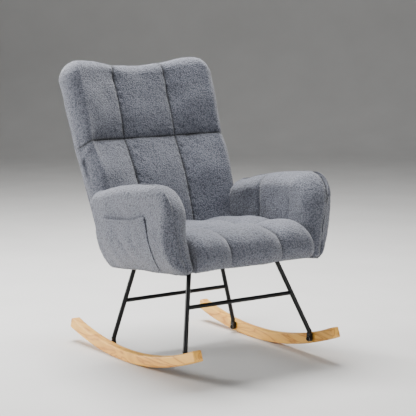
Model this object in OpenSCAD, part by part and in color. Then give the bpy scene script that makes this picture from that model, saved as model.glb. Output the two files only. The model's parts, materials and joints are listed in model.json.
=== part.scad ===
// Upholstered rocking chair: tufted teddy-fabric seat and winged back, padded arms with a side
// pocket, a tubular steel leg frame and two solid wood rockers.
// Frame: +Z up, the chair faces -Y, +X is the sitter's left, origin on the floor at the middle.

/* [Rockers] */
// Distance between the middles of the two rockers
rocker_spacing = 550; // [480:5:580]
// Width of a rocker, side to side
rocker_width = 33; // [26:1:40]
// Depth of a rocker, from its top face to its underside
rocker_depth = 36; // [30:1:44]
// Radius of the curved underside
rocker_radius = 1210; // [1000:10:1500]
// Where the underside touches the floor at rest, front to back
rocker_contact_y = 25; // [0:1:50]
// Sweep of the rocker forward of the contact line, in degrees
rocker_front_angle = 22.1; // [19:0.1:24]
// Sweep of the rocker behind the contact line, in degrees
rocker_rear_angle = 16.2; // [14:0.1:19]
// Radius on the long edges of a rocker
rocker_edge = 5; // [2:1:8]
// Radius of a rocker's ends, seen from the side
rocker_tip_round = 10; // [4:1:12]

/* [Leg frame] */
// Outside diameter of the leg tubes
leg_d = 15.5; // [12:0.5:18]
// Wall of the leg tubes
leg_wall = 1.5; // [1.2:0.1:2]
// Outside diameter of the crossbars
bar_d = 14.2; // [10:0.1:15]
// Half the distance between the leg tops, under the seat
leg_top_x = 172; // [150:1:185]
// Front leg tops, front to back
front_top_y = -219; // [-240:1:-190]
// Rear leg tops, front to back
rear_top_y = 104; // [80:1:112]
// Front leg feet, front to back
front_foot_y = -312; // [-320:1:-280]
// Rear leg feet, front to back
rear_foot_y = 127; // [110:1:150]
// Height of the front crossbar
front_bar_z = 219; // [190:1:240]
// Height of the rear crossbar
rear_bar_z = 176; // [150:1:200]
// Width of the mounting plates, side to side
plate_w = 62; // [56:1:70]
// Length of the mounting plates, front to back
plate_len = 68; // [66:1:76]
// Thickness of the mounting plates
plate_t = 3; // [2:0.5:4]
// Width of a foot lug, front to back
lug_w = 19; // [16:1:24]
// Height of a foot lug
lug_h = 32; // [26:1:36]

/* [Seat] */
// Slope of the seat's underside, front up, in degrees
seat_tilt = 5.6; // [3:0.1:8]
// Height of the seat's underside at the origin
seat_z = 312; // [290:1:330]
// Half the width of the seat cushion, between the arms
seat_half = 231; // [220:1:250]
// Front face of the seat cushion
seat_front_y = -364; // [-375:1:-350]
// Radius of the rolled front edge
seat_roll = 48; // [30:1:60]
// Height of the seat cushion's top at its front roll
seat_top_front_z = 472; // [455:1:485]
// Height of the seat cushion's top where it meets the back
seat_top_rear_z = 455; // [440:1:470]
// Thickness of the plywood base board
board_t = 12; // [9:1:15]
// Height of the seat rails
rail_h = 45; // [35:1:50]
// Thickness of the wooden rails
rail_t = 22; // [18:1:25]

/* [Back] */
// Lean of the back from upright, in degrees
back_lean = 22.6; // [18:0.1:26]
// Foot of the back's middle line, front to back
back_base_y = 107; // [95:1:115]
// Foot of the back's middle line, height
back_base_z = 300; // [290:1:305]
// Thickness of the back's side rolls
back_t = 90; // [80:1:100]
// Half width of the back at its foot
back_half_foot = 262; // [250:1:270]
// Half width of the back at its widest, near the top
back_half_top = 307; // [290:1:315]
// Length of the back up its slope, at the raised corners
back_len = 738; // [700:1:760]
// How far the top edge dips in the middle
back_dip = 32; // [10:1:45]
// Radius of the top corners, seen from the front
back_corner = 58; // [40:1:80]
// How far the middle of the front face lies behind the side rolls
back_hollow = 38; // [20:1:45]
// Thickness of the back's timber frame
post_t = 20; // [18:1:22]

/* [Arms] */
// Inner face of an arm, from the middle of the chair
arm_in_x = 233; // [233:1:250]
// Outer face of an arm at its widest
arm_out_x = 334; // [320:1:340]
// Outer face of an arm at its bottom edge
arm_foot_x = 285; // [275:1:300]
// Front face of the arms
arm_front_y = -342; // [-350:1:-330]
// Height of an arm at its front
arm_top_z = 625; // [600:1:640]
// Height of an arm where it meets the back
arm_rear_z = 560; // [540:1:580]
// Radius of the arm's rounded top, seen from the front
arm_roll = 45; // [35:1:48]
// Radius of the arm's top front corner, seen from the side
arm_corner = 62; // [45:1:75]

/* [Side pocket] */
// Front end of the pocket's mouth
pocket_front_y = -205; // [-230:1:-190]
// Rear end of the pocket's mouth
pocket_rear_y = 43; // [20:1:60]
// Height of the pocket's mouth at its front
pocket_front_z = 508; // [480:1:520]
// Height of the pocket's mouth at its rear
pocket_rear_z = 480; // [465:1:500]
// Depth of the hollow behind the pocket's panel
pocket_gap = 5.5; // [5:0.5:8]
// Thickness of the pocket's panel
pocket_t = 2.5; // [2:0.5:4]
// Width of the pocket's sewn hem
hem_h = 14; // [10:1:20]

/* [Hidden] */
$fn = 64;

// Small working clearance between neighbouring solids
gap = 0.3;
// Clearance between a bolt and the thread that it turns in
thread_gap = 0.05;
// Overshoot of cutting solids
far = 900;

// --- Shared shapes ---

// Points along a circular arc, from angle a0 to a1
function arc(cx, cy, r, a0, a1, n) =
  [for (i = [0 : n]) let (a = a0 + (a1 - a0) * i / n) [cx + r * cos(a), cy + r * sin(a)]];

// A side view in (y, z), extruded across the chair from x0 to x1
module across(x0, x1) {
  translate([x0, 0, 0]) rotate([90, 0, 90]) linear_extrude(x1 - x0) children();
}

// A front view in (x, z), extruded from y0 to y1
module along(y0, y1) {
  translate([0, y1, 0]) rotate([90, 0, 0]) linear_extrude(y1 - y0) children();
}

// A rectangle with true round corners
module round_rect(w, h, r) {
  square([w - 2 * r, h], center = true);
  square([w, h - 2 * r], center = true);
  for (x = [-1, 1], y = [-1, 1]) translate([x * (w / 2 - r), y * (h / 2 - r)]) circle(r);
}

// Children copied to both sides
module both_sides() {
  children();
  mirror([1, 0, 0]) children();
}

// A rod or cutter between two points
module rod(a, b, r) {
  d = b - a;
  translate(a) rotate([0, atan2(norm([d[0], d[1]]), d[2]), atan2(d[1], d[0])])
    cylinder(r = r, h = norm(d));
}

// A hexagon socket along +z, cut a little proud of the face of a bolt head
socket_r = 2.9;
socket_depth = 3;
module socket(r = socket_r) {
  translate([0, 0, -0.1]) cylinder(r = r, h = socket_depth, $fn = 6);
}

// --- Frames of reference ---

// The seat's own frame: z = 0 is the underside of the upholstery
module in_seat() {
  translate([0, 0, seat_z]) rotate([-seat_tilt, 0, 0]) children();
}

// Height of the seat's underside above the floor at y
function under_z(y) = seat_z - y * tan(seat_tilt);

// The back's own frame: z runs up its slope, y to the rear from its middle line
module in_back() {
  translate([0, back_base_y, back_base_z]) rotate([-back_lean, 0, 0]) children();
}

// Everything above the seat's underside plane
module above_underside() {
  in_seat() translate([-far, -far, 0]) cube([2 * far, 2 * far, far]);
}

// --- Rockers ---

// Height of the rocker's mid-depth line above the floor at y
function rocker_mid_z(y) = rocker_radius
  - sqrt(pow(rocker_radius - rocker_depth / 2, 2) - pow(y - rocker_contact_y, 2));

rocker_in_x = rocker_spacing / 2 - rocker_width / 2;
bolt_r = 4;
insert_r = 5.5;
insert_len = 18;
insert_floor = 2;
lug_t = 12;
lug_x = rocker_in_x - gap - lug_t / 2;

function foot_y(front) = front ? front_foot_y : rear_foot_y;
function bolt_z(front) = rocker_mid_z(foot_y(front)) - 2;

// One hole for a threaded insert, bored from the inner face
module insert_hole(front) {
  translate([rocker_in_x - 1, foot_y(front), bolt_z(front)])
    rotate([0, 90, 0]) cylinder(r = insert_r, h = insert_len + 1);
}

// A curved rocker: a rounded bar swept round the arc's centre
module rocker_blank() {
  sweep = rocker_front_angle + rocker_rear_angle;
  translate([rocker_spacing / 2, rocker_contact_y, rocker_radius])
    rotate([0, 90, 0]) rotate([0, 0, -rocker_front_angle])
      rotate_extrude(angle = sweep, $fn = 360)
        translate([rocker_radius - rocker_depth / 2, 0])
          round_rect(rocker_depth, rocker_width, rocker_edge);
}

// What is cut from a bar of width w, ending at x = 0, to round its two end corners
module end_corners(w, r) {
  for (s = [0, 1]) mirror([0, s]) translate([-r, w / 2 - r]) difference() {
    square(r + 1);
    circle(r * 1.02);
  }
}

// Cuts the end of a rocker round, seen from the side and from above
module rocker_end_cut() {
  across(-rocker_width, rocker_width) end_corners(rocker_depth, rocker_tip_round);
  translate([0, 0, -rocker_depth]) rotate([0, 0, 90]) linear_extrude(2 * rocker_depth)
    end_corners(rocker_width, rocker_edge + 3);
}

// Places an end at an angle of the arc, behind the contact line when positive
module at_rocker_angle(angle) {
  translate([rocker_spacing / 2, rocker_contact_y, rocker_radius]) rotate([angle, 0, 0])
    translate([0, 0, rocker_depth / 2 - rocker_radius]) children();
}

module rocker() {
  difference() {
    rocker_blank();
    at_rocker_angle(rocker_rear_angle) rocker_end_cut();
    at_rocker_angle(-rocker_front_angle) mirror([0, 1, 0]) rocker_end_cut();
    insert_hole(true);
    insert_hole(false);
  }
}

module left_rocker() { color("burlywood") rocker(); }
module right_rocker() { color("burlywood") mirror([1, 0, 0]) rocker(); }

// --- Leg frame ---

leg_r = leg_d / 2;
foot_x = rocker_in_x - gap - leg_r;
knee_swell = 0.5;

function top_y(front) = front ? front_top_y : rear_top_y;
function knee_z(front) = rocker_mid_z(foot_y(front)) + (front ? 24 : 26);
function lug_top_z(front) = bolt_z(front) + lug_h / 2 + 2;
function leg_top(front) = [leg_top_x, top_y(front), under_z(top_y(front)) + 6];
function knee(front) = [foot_x, foot_y(front), knee_z(front)];

// Point on the straight part of a leg at height z
function leg_at(front, z) =
  let (a = knee(front), b = leg_top(front), s = (z - a[2]) / (b[2] - a[2])) a + (b - a) * s;

// A leg: a solid vertical foot, a knee where it turns, and a splayed upper tube
module leg(front) {
  low = [foot_x, foot_y(front), lug_top_z(front)];
  run = leg_top(front) - knee(front);
  bore_start = knee(front) + run / norm(run) * leg_d;
  difference() {
    union() {
      rod(low, knee(front), leg_r);
      translate(knee(front)) sphere(leg_r + knee_swell);
      rod(knee(front), leg_top(front), leg_r);
    }
    rod(bore_start, leg_top(front), leg_r - leg_wall);
    in_seat() translate([-far, -far, 0]) cube([2 * far, 2 * far, far]);
  }
}

module leg_at_side(front, side) {
  color("black") mirror([side < 0 ? 1 : 0, 0, 0]) leg(front);
}
module front_left_leg() { leg_at_side(true, 1); }
module front_right_leg() { leg_at_side(true, -1); }
module rear_left_leg() { leg_at_side(false, 1); }
module rear_right_leg() { leg_at_side(false, -1); }

// A crossbar, coped to the two legs that it joins
module crossbar(front, z) {
  p = leg_at(front, z);
  color("black") difference() {
    rod([-p[0], p[1], z], [p[0], p[1], z], bar_d / 2);
    rod([-p[0] - 1, p[1], z], [p[0] + 1, p[1], z], bar_d / 2 - leg_wall);
    both_sides() rod(knee(front), leg_top(front), leg_r);
  }
}
module front_crossbar() { crossbar(true, front_bar_z); }
module rear_crossbar() { crossbar(false, rear_bar_z); }

// Mounting plate in the seat's frame, with four bolt holes
plate_bolt_r = 3;
plate_bolt_x = 22;
plate_bolt_y = 17;
plate_shift = 22;
plate_corner = 8;

// A plate reaches from its leg towards the middle of the seat
function plate_y(front) = top_y(front) / cos(seat_tilt) + (front ? plate_shift : -plate_shift);

module plate_bolt_places(front) {
  for (i = [-1, 1], j = [-1, 1])
    translate([leg_top_x + i * plate_bolt_x, plate_y(front) + j * plate_bolt_y, 0]) children();
}

module plate(front, side) {
  color("black") mirror([side < 0 ? 1 : 0, 0, 0]) in_seat() difference() {
    translate([leg_top_x, plate_y(front), 0]) linear_extrude(plate_t)
      round_rect(plate_w, plate_len, plate_corner);
    plate_bolt_places(front) translate([0, 0, -1]) cylinder(r = plate_bolt_r + gap, h = plate_t + 2);
  }
}
module front_left_plate() { plate(true, 1); }
module front_right_plate() { plate(true, -1); }
module rear_left_plate() { plate(false, 1); }
module rear_right_plate() { plate(false, -1); }

// Foot lug: a flattened steel foot with a rounded lower end and one bolt hole
module foot_lug(front, side) {
  y = foot_y(front);
  z = bolt_z(front);
  color("black") mirror([side < 0 ? 1 : 0, 0, 0]) difference() {
    across(lug_x - lug_t / 2, lug_x + lug_t / 2) {
      translate([y, z]) circle(lug_w / 2);
      translate([y - lug_w / 2, z]) square([lug_w, lug_top_z(front) - z]);
    }
    rod([lug_x - lug_t, y, z], [lug_x + lug_t, y, z], bolt_r + gap);
  }
}
module front_left_foot_lug() { foot_lug(true, 1); }
module front_right_foot_lug() { foot_lug(true, -1); }
module rear_left_foot_lug() { foot_lug(false, 1); }
module rear_right_foot_lug() { foot_lug(false, -1); }

// --- Fasteners of the rockers ---

washer_t = 1.6;
washer_r = 8;
washer_x = lug_x - lug_t / 2 - washer_t;
bolt_head_h = 6;

module at_feet() {
  both_sides() for (front = [true, false]) translate([0, foot_y(front), bolt_z(front)]) children();
}

// Domed bolt: round head with a hexagon socket, on a plain shank
module rocker_bolts() {
  color("black") at_feet() difference() {
    union() {
      intersection() {
        translate([washer_x + 2, 0, 0]) sphere(washer_r);
        translate([washer_x - bolt_head_h, -washer_r, -washer_r])
          cube([bolt_head_h, 2 * washer_r, 2 * washer_r]);
      }
      rod([washer_x - 0.5, 0, 0], [rocker_in_x + insert_len - insert_floor - 1, 0, 0], bolt_r);
    }
    translate([washer_x - bolt_head_h, 0, 0]) rotate([0, 90, 0]) socket();
  }
}

module rocker_washers() {
  color("silver") at_feet() difference() {
    rod([washer_x, 0, 0], [washer_x + washer_t, 0, 0], washer_r);
    rod([washer_x - 1, 0, 0], [washer_x + washer_t + 1, 0, 0], bolt_r + gap);
  }
}

module rocker_inserts() {
  color("silver") at_feet() difference() {
    rod([rocker_in_x, 0, 0], [rocker_in_x + insert_len, 0, 0], insert_r - thread_gap);
    rod([rocker_in_x - 1, 0, 0], [rocker_in_x + insert_len - insert_floor, 0, 0], bolt_r + thread_gap);
  }
}

// --- Fasteners of the mounting plates ---

tee_flange_r = 9;
tee_flange_t = 1.5;
tee_barrel_r = 4;
tee_barrel_h = 9;
plate_head_r = 5.5;
plate_head_h = 4;
plate_socket_r = 2.3;
board_z = plate_t;
board_top = board_z + board_t;

module plate_bolts() {
  color("black") both_sides() in_seat() for (front = [true, false]) plate_bolt_places(front)
    difference() {
      union() {
        translate([0, 0, -plate_head_h]) cylinder(r = plate_head_r, h = plate_head_h);
        cylinder(r = plate_bolt_r, h = board_top - 1);
      }
      translate([0, 0, -plate_head_h]) socket(plate_socket_r);
    }
}

module plate_tee_nuts() {
  color("silver") both_sides() in_seat() for (front = [true, false]) plate_bolt_places(front)
    difference() {
      union() {
        translate([0, 0, board_top - tee_barrel_h]) cylinder(r = tee_barrel_r, h = tee_barrel_h);
        translate([0, 0, board_top]) cylinder(r = tee_flange_r, h = tee_flange_t);
      }
      translate([0, 0, board_z]) cylinder(r = plate_bolt_r + thread_gap, h = board_t + 2 * tee_flange_t);
    }
}

// --- Seat ---

board_half = 232.5;
board_front = -326;
rear_rail_v = -4;
webbing_z = board_top + rail_h;
webbing_t = 2;
webbing_w = 50;
strap_pitch = 80;
cushion_z = webbing_z + 2 * webbing_t + 1;
dust_t = 1;

// Everything in front of a plane of the back's frame at depth v
module ahead_of(v) {
  in_back() translate([-far, v - far, -far]) cube([2 * far, far, 2 * far]);
}

module seat_board() {
  color("tan") difference() {
    intersection() {
      in_seat() translate([-board_half, board_front, board_z]) cube([2 * board_half, far, board_t]);
      ahead_of(rear_rail_v + rail_t);
    }
    both_sides() in_seat() for (front = [true, false]) plate_bolt_places(front) {
      translate([0, 0, board_z - 1]) cylinder(r = plate_bolt_r + gap, h = board_t + 2);
      translate([0, 0, board_top - tee_barrel_h])
        cylinder(r = tee_barrel_r + thread_gap, h = tee_barrel_h + 1);
    }
  }
}

module seat_front_rail() {
  color("wheat") in_seat() translate([-board_half, board_front, board_top])
    cube([2 * board_half, rail_t, rail_h]);
}

// The rear rail stands at the back's lean, so that the posts bolt flat to it
module seat_rear_rail() {
  color("wheat") difference() {
    intersection() {
      in_back() translate([-board_half, rear_rail_v, 0])
        cube([2 * board_half, rail_t, rail_h + board_top + 8]);
      in_seat() translate([-far, -far, board_top]) cube([2 * far, 2 * far, rail_h]);
    }
    back_bolt_places() cylinder(r = bolt_r + gap, h = far, center = true);
  }
}

module seat_side_rail(side) {
  color("wheat") mirror([side < 0 ? 1 : 0, 0, 0]) difference() {
    intersection() {
      in_seat() translate([board_half - rail_t, board_front + rail_t, board_top])
        cube([rail_t, far, rail_h]);
      ahead_of(rear_rail_v);
    }
    arm_bolt_places() translate([-far / 2, 0, 0]) rotate([0, 90, 0])
      cylinder(r = bolt_r + gap, h = far);
  }
}
module seat_left_rail() { seat_side_rail(1); }
module seat_right_rail() { seat_side_rail(-1); }

// Elastic straps stapled over the rails: crosswise below, lengthwise above
module seat_webbing_crosswise() {
  color("dimgray") in_seat() for (i = [0 : 4])
    translate([-board_half, board_front + 40 + i * strap_pitch, webbing_z])
      cube([2 * board_half, webbing_w, webbing_t]);
}

module seat_webbing_lengthwise() {
  color("gray") intersection() {
    in_seat() for (i = [-2 : 2])
      translate([i * strap_pitch - webbing_w / 2, board_front, webbing_z + webbing_t])
        cube([webbing_w, far, webbing_t]);
    ahead_of(rear_rail_v + rail_t - 2);
  }
}

// Side view of the seat cushion: over the webbing, and down over the front rail
module seat_cushion_side() {
  r = seat_roll;
  top = arc(seat_front_y + r, seat_top_front_z - r, r, 180, 90, 12);
  sh = sin(seat_tilt);
  ch = cos(seat_tilt);
  function low(y, z) = [y * ch + z * sh, seat_z - y * sh + z * ch];
  polygon(concat(
    [low(board_front - 1, 0), [seat_front_y + 6, under_z(seat_front_y) + 1],
      [seat_front_y, under_z(seat_front_y) + 12]],
    top,
    [[200, seat_top_rear_z], low(200, cushion_z), low(board_front - 1, cushion_z)]));
}

module seat_cushion() {
  color("slategray") difference() {
    across(-seat_half, seat_half) seat_cushion_side();
    back_keep_out();
  }
}

// Black cloth under the board, cut out round the mounting plates
module seat_dust_cover() {
  color("black") difference() {
    intersection() {
      in_seat() translate([-board_half, board_front, board_z - dust_t])
        cube([2 * board_half, far, dust_t]);
      ahead_of(rear_rail_v + rail_t);
    }
    both_sides() in_seat() for (front = [true, false])
      translate([leg_top_x, plate_y(front), 0])
        linear_extrude(board_z + 1) round_rect(plate_w + 2, plate_len + 2, plate_corner + 1);
  }
}

// --- Back ---

back_front_mid = -back_t / 2 + back_hollow;
back_rear_wrap = 16;
back_rear_mid = back_t / 2 + back_rear_wrap;
back_curve_half = 262;
panel_t = 8;
frame_v = rear_rail_v + rail_t;
post_w = 42;
post_out = 232;
back_drop = 60;
back_rail_h = 50;
back_bolt_us = [32, 54];
flat_head_r = 7;
flat_head_h = 4;

function back_bend(x) = pow(min(abs(x), back_curve_half) / back_curve_half, 2);
function back_front_v(x) = back_front_mid - back_hollow * back_bend(x);
function back_rear_v(x) = back_rear_mid - back_rear_wrap * back_bend(x);

// Plan of a layer of the back, between two curved surfaces
module back_layer(front_shift, rear_shift, rear_only) {
  xs = concat([-far], [for (i = [-8 : 8]) back_curve_half * i / 8], [far]);
  front = [for (x = xs) [x, (rear_only ? back_rear_v(x) : back_front_v(x)) + front_shift]];
  rear = [for (i = [len(xs) - 1 : -1 : 0]) [xs[i], back_rear_v(xs[i]) + rear_shift]];
  linear_extrude(far) polygon(concat(front, rear));
}

// Front view of the back: widening sides, raised round corners and a dipped top edge
module back_outline() {
  c = back_corner;
  cx = back_half_top - c;
  cz = back_len - c;
  dip_at = function (x) back_len - back_dip / 2 * (1 + cos(180 * x / cx));
  edge = [for (i = [1 : 11]) let (x = cx - 2 * cx * i / 12) [x, dip_at(x)]];
  side = [[back_half_foot, -back_drop], [284, 160], [297, 390]];
  other_side = [for (i = [len(side) - 1 : -1 : 0]) [-side[i][0], side[i][1]]];
  polygon(concat(side, arc(cx, cz, c, 0, 90, 10), edge, arc(-cx, cz, c, 90, 180, 10), other_side));
}

// Side view of the back: parallel faces under a round top
module back_side() {
  r = back_t / 2 + 4;
  polygon(concat([[-back_t / 2 - 1, -back_drop], [-back_t / 2 - 1, back_len - r]],
    arc(3, back_len - r, r, 180, 0, 16),
    [[back_t / 2 + 20, back_len - 160], [back_t / 2 + 20, -back_drop]]));
}

module back_body(front_shift, rear_shift, rear_only) {
  intersection() {
    in_back() intersection() {
      translate([0, 0, -back_drop]) back_layer(front_shift, rear_shift, rear_only);
      along(-far / 2, far / 2) back_outline();
      across(-far, far) back_side();
    }
    above_underside();
  }
}

// Space that the arms and seat cushion leave to the back
module back_keep_out() {
  in_back() translate([0, -gap, -back_drop]) back_layer(0, far, false);
}

module back_post(side) {
  color("wheat") mirror([side < 0 ? 1 : 0, 0, 0]) difference() {
    intersection() {
      in_back() translate([post_out - post_w, frame_v, -20]) cube([post_w, post_t, back_len - 60]);
      in_seat() translate([-far, -far, board_z]) cube([2 * far, 2 * far, far]);
    }
    back_bolt_places() cylinder(r = bolt_r + gap, h = far, center = true);
  }
}
module back_left_post() { back_post(1); }
module back_right_post() { back_post(-1); }

module back_rail(u) {
  color("wheat") in_back() translate([-(post_out - post_w), frame_v, u])
    cube([2 * (post_out - post_w), post_t, back_rail_h]);
}
module back_top_rail() { back_rail(back_len - 130); }
module back_middle_rail() { back_rail(300); }

// Elastic straps across the back, stapled to the fronts of the posts
module back_webbing() {
  color("gray") in_back() for (i = [0 : 5])
    translate([-post_out, frame_v - webbing_t, 120 + i * 88])
      cube([2 * post_out, webbing_t, webbing_w]);
}

// Room inside the back for its timber frame and straps
module back_frame_room() {
  in_back() translate([-post_out - gap, frame_v - webbing_t - gap, -far])
    cube([2 * (post_out + gap), far, far + back_len - 76]);
}

module back_cushion() {
  color("slategray") difference() {
    back_body(0, -panel_t - gap, false);
    back_frame_room();
    seat_and_rail_room();
  }
}

// Room for the seat's frame, which runs in under the foot of the back
module seat_and_rail_room() {
  intersection() {
    in_seat() translate([-board_half - gap, -far, -far])
      cube([2 * (board_half + gap), 2 * far, far + cushion_z]);
    in_back() translate([-far, -far, -far]) cube([2 * far, 2 * far, far + 100]);
  }
}

module back_rear_panel() {
  color("slategray") back_body(-panel_t, 0, true);
}

// Four bolts join the posts to the seat's rear rail
module back_bolt_places() {
  both_sides() in_back() for (u = back_bolt_us) translate([post_out - post_w + 10, 0, u])
    rotate([90, 0, 0]) children();
}

module back_bolts() {
  color("silver") back_bolt_places() difference() {
    union() {
      translate([0, 0, -frame_v - post_t - flat_head_h]) cylinder(r = flat_head_r, h = flat_head_h);
      translate([0, 0, -frame_v - post_t]) cylinder(r = bolt_r, h = post_t + rail_t);
    }
    translate([0, 0, -frame_v - post_t - flat_head_h]) socket();
  }
}

module back_tee_nuts() {
  color("silver") back_bolt_places() difference() {
    translate([0, 0, -rear_rail_v]) cylinder(r = 8, h = 2);
    translate([0, 0, -rear_rail_v - 1]) cylinder(r = bolt_r + thread_gap, h = 4);
  }
}

// --- Arms ---

arm_slope = 8.5;
arm_bolt_ys = [-262, -126, 10];
arm_barrel_r = 5;
arm_flange_t = 2;
flange_room_r = tee_flange_r + 0.5;
flange_room_t = arm_flange_t + 1;
core_in_x = 246;
core_out_x = 260;
arm_belly_z = 140;
arm_height = arm_top_z - under_z(arm_front_y);

// Front view of an arm above its foot: flat inside, round top, belly tapering in to the foot
function arm_out(z) = z > arm_belly_z ? arm_out_x
  : arm_out_x - (arm_out_x - arm_foot_x) * pow((arm_belly_z - z) / arm_belly_z, 2);

module arm_section() {
  cx = arm_out_x - arm_roll;
  cz = arm_height - arm_roll;
  outer = [for (i = [0 : 6]) let (z = arm_belly_z * i / 6) [arm_out(z), z]];
  polygon(concat([[arm_in_x, -60], [arm_foot_x, -60]], outer, arc(cx, cz, arm_roll, 0, 170, 14),
    [[arm_in_x, arm_belly_z]]));
}

// The arm's frame: it slopes down to the rear from the front foot
module in_arm() {
  translate([0, arm_front_y, under_z(arm_front_y)]) rotate([-arm_slope, 0, 0]) children();
}

// Side view of an arm
module arm_side() {
  r = arm_corner;
  front = arc(arm_front_y + 14 + r, arm_top_z - r, r, 180, 84, 10);
  rear = arc(120, arm_rear_z - 40, 40, 80, 0, 8);
  polygon(concat([[arm_front_y + 8, under_z(arm_front_y)], [arm_front_y, under_z(arm_front_y) + 14],
    [arm_front_y + 3, 430]], front, rear, [[200, 500], [160, 280]]));
}

// A whole arm, on the left
module arm_body() {
  difference() {
    intersection() {
      in_arm() along(-60, 620) arm_section();
      across(arm_in_x, arm_out_x) arm_side();
      above_underside();
    }
    back_keep_out();
  }
}

// Where the arm's outer panel is sewn to its inner panel
module arm_split() {
  along(-far, far) polygon([[core_out_x, 0], [core_out_x, 330], [300, 520], [arm_out_x - 8, 590],
    [arm_out_x - 6, far], [far, far], [far, 0]]);
}

// Plywood core of an arm, set in from its edges
module arm_frame_body() {
  intersection() {
    across(core_in_x, core_out_x) polygon([[arm_front_y + 56, 300], [arm_front_y + 60, 450],
      [arm_front_y + 100, 500], [110, 460], [20, 280]]);
    above_underside();
    ahead_of(-back_t / 2 - 12);
  }
}

module arm_core() {
  difference() {
    arm_frame_body();
    arm_bolt_places() translate([-far / 2, 0, 0]) rotate([0, 90, 0])
      cylinder(r = arm_barrel_r + thread_gap, h = far);
  }
}
module left_arm_frame() { color("tan") arm_core(); }
module right_arm_frame() { color("tan") mirror([1, 0, 0]) arm_core(); }

module arm_inner_pad() {
  difference() {
    arm_body();
    arm_split();
    arm_frame_body();
    arm_bolt_places() translate([-far / 2, 0, 0]) rotate([0, 90, 0])
      cylinder(r = flange_room_r, h = far / 2 + core_in_x);
    arm_bolt_places() translate([core_out_x, 0, 0]) rotate([0, 90, 0])
      cylinder(r = flange_room_r, h = flange_room_t);
  }
}
module left_arm_inner_pad() { color("slategray") arm_inner_pad(); }
module right_arm_inner_pad() { color("slategray") mirror([1, 0, 0]) arm_inner_pad(); }

module arm_outer_pad() {
  difference() {
    intersection() {
      arm_body();
      arm_split();
    }
    arm_frame_body();
    arm_bolt_places() translate([core_out_x, 0, 0]) rotate([0, 90, 0])
      cylinder(r = flange_room_r, h = flange_room_t);
  }
}
module left_arm_outer_pad() { color("slategray") arm_outer_pad(); }
module right_arm_outer_pad() { color("slategray") mirror([1, 0, 0]) arm_outer_pad(); }

// Three bolts a side join the arm's core to the seat's side rail
module arm_bolt_places() {
  in_seat() for (y = arm_bolt_ys) translate([0, y, board_top + rail_h / 2]) children();
}

module arm_bolts() {
  x0 = board_half - rail_t;
  color("silver") both_sides() arm_bolt_places() difference() {
    union() {
      translate([x0 - flat_head_h, 0, 0]) rotate([0, 90, 0]) cylinder(r = flat_head_r, h = flat_head_h);
      translate([x0, 0, 0]) rotate([0, 90, 0]) cylinder(r = bolt_r, h = core_out_x - x0);
    }
    translate([x0 - flat_head_h, 0, 0]) rotate([0, 90, 0]) socket();
  }
}

module arm_tee_nuts() {
  color("silver") both_sides() arm_bolt_places() difference() {
    union() {
      translate([core_out_x, 0, 0]) rotate([0, 90, 0]) cylinder(r = tee_flange_r, h = arm_flange_t);
      translate([core_out_x - tee_barrel_h, 0, 0]) rotate([0, 90, 0])
        cylinder(r = arm_barrel_r, h = tee_barrel_h);
    }
    translate([core_in_x, 0, 0]) rotate([0, 90, 0])
      cylinder(r = bolt_r + thread_gap, h = core_out_x - core_in_x + 2 * arm_flange_t);
  }
}

// --- Side pocket on the sitter's right arm ---

pocket_edge = 9;
pocket_sag = 7;
hem_t = 1.5;

// Side view of the pocket, grown or shrunk by edge; its mouth sags a little
module pocket_side(edge, mouth) {
  n = 8;
  lip = [for (i = [0 : n]) let (s = i / n)
    [pocket_front_y + edge + (pocket_rear_y - pocket_front_y - 2 * edge) * s,
      pocket_front_z + (pocket_rear_z - pocket_front_z) * s - 4 * pocket_sag * s * (1 - s) + mouth]];
  polygon(concat(lip, [[pocket_rear_y - edge - 8, 330 + edge],
    [pocket_front_y - 34 + edge, 352 + edge]]));
}

// A layer that follows the arm's outer face, from depth a to depth b outside it
module face_layer(a, b) {
  zs = [for (i = [0 : 10]) arm_belly_z * i / 6];
  inner = [for (z = zs) [arm_out(z) + a, z]];
  outer = [for (i = [len(zs) - 1 : -1 : 0]) [arm_out(zs[i]) + b, zs[i]]];
  mirror([1, 0, 0]) in_arm() along(-60, 620) polygon(concat(inner, outer));
}

// The pocket: a panel that stands off the arm, closed round its front, rear and bottom edges
module pocket_panel() {
  color("slategray") difference() {
    intersection() {
      face_layer(gap, pocket_gap + pocket_t);
      across(-far, 0) pocket_side(0, 0);
      above_underside();
    }
    intersection() {
      face_layer(-1, pocket_gap);
      across(-far, 0) pocket_side(pocket_edge, 1);
    }
  }
}

// The turned and sewn hem along the pocket's mouth
module pocket_hem() {
  color("slategray") intersection() {
    face_layer(pocket_gap + pocket_t, pocket_gap + pocket_t + hem_t);
    across(-far, 0) difference() {
      pocket_side(0, 0);
      pocket_side(-1, -hem_h);
    }
  }
}

left_rocker();
right_rocker();
front_left_leg();
front_right_leg();
rear_left_leg();
rear_right_leg();
front_crossbar();
rear_crossbar();
front_left_plate();
front_right_plate();
rear_left_plate();
rear_right_plate();
front_left_foot_lug();
front_right_foot_lug();
rear_left_foot_lug();
rear_right_foot_lug();
rocker_bolts();
rocker_washers();
rocker_inserts();
plate_bolts();
plate_tee_nuts();
seat_board();
seat_front_rail();
seat_rear_rail();
seat_left_rail();
seat_right_rail();
seat_webbing_lengthwise();
seat_webbing_crosswise();
seat_cushion();
seat_dust_cover();
back_left_post();
back_right_post();
back_top_rail();
back_middle_rail();
back_webbing();
back_cushion();
back_rear_panel();
back_bolts();
back_tee_nuts();
left_arm_frame();
right_arm_frame();
left_arm_inner_pad();
right_arm_inner_pad();
left_arm_outer_pad();
right_arm_outer_pad();
arm_bolts();
arm_tee_nuts();
pocket_panel();
pocket_hem();
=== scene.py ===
"""Looks of an upholstered rocking chair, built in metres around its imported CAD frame.

The chair faces -Y. Every cushion, pad and cloth is a mesh made here from a few driving
dimensions; the timber, steel and fastenings are the CAD nodes with better materials.
"""

import json
import math

import bmesh
import bpy
import numpy as np
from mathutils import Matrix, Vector
from mathutils.bvhtree import BVHTree


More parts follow.
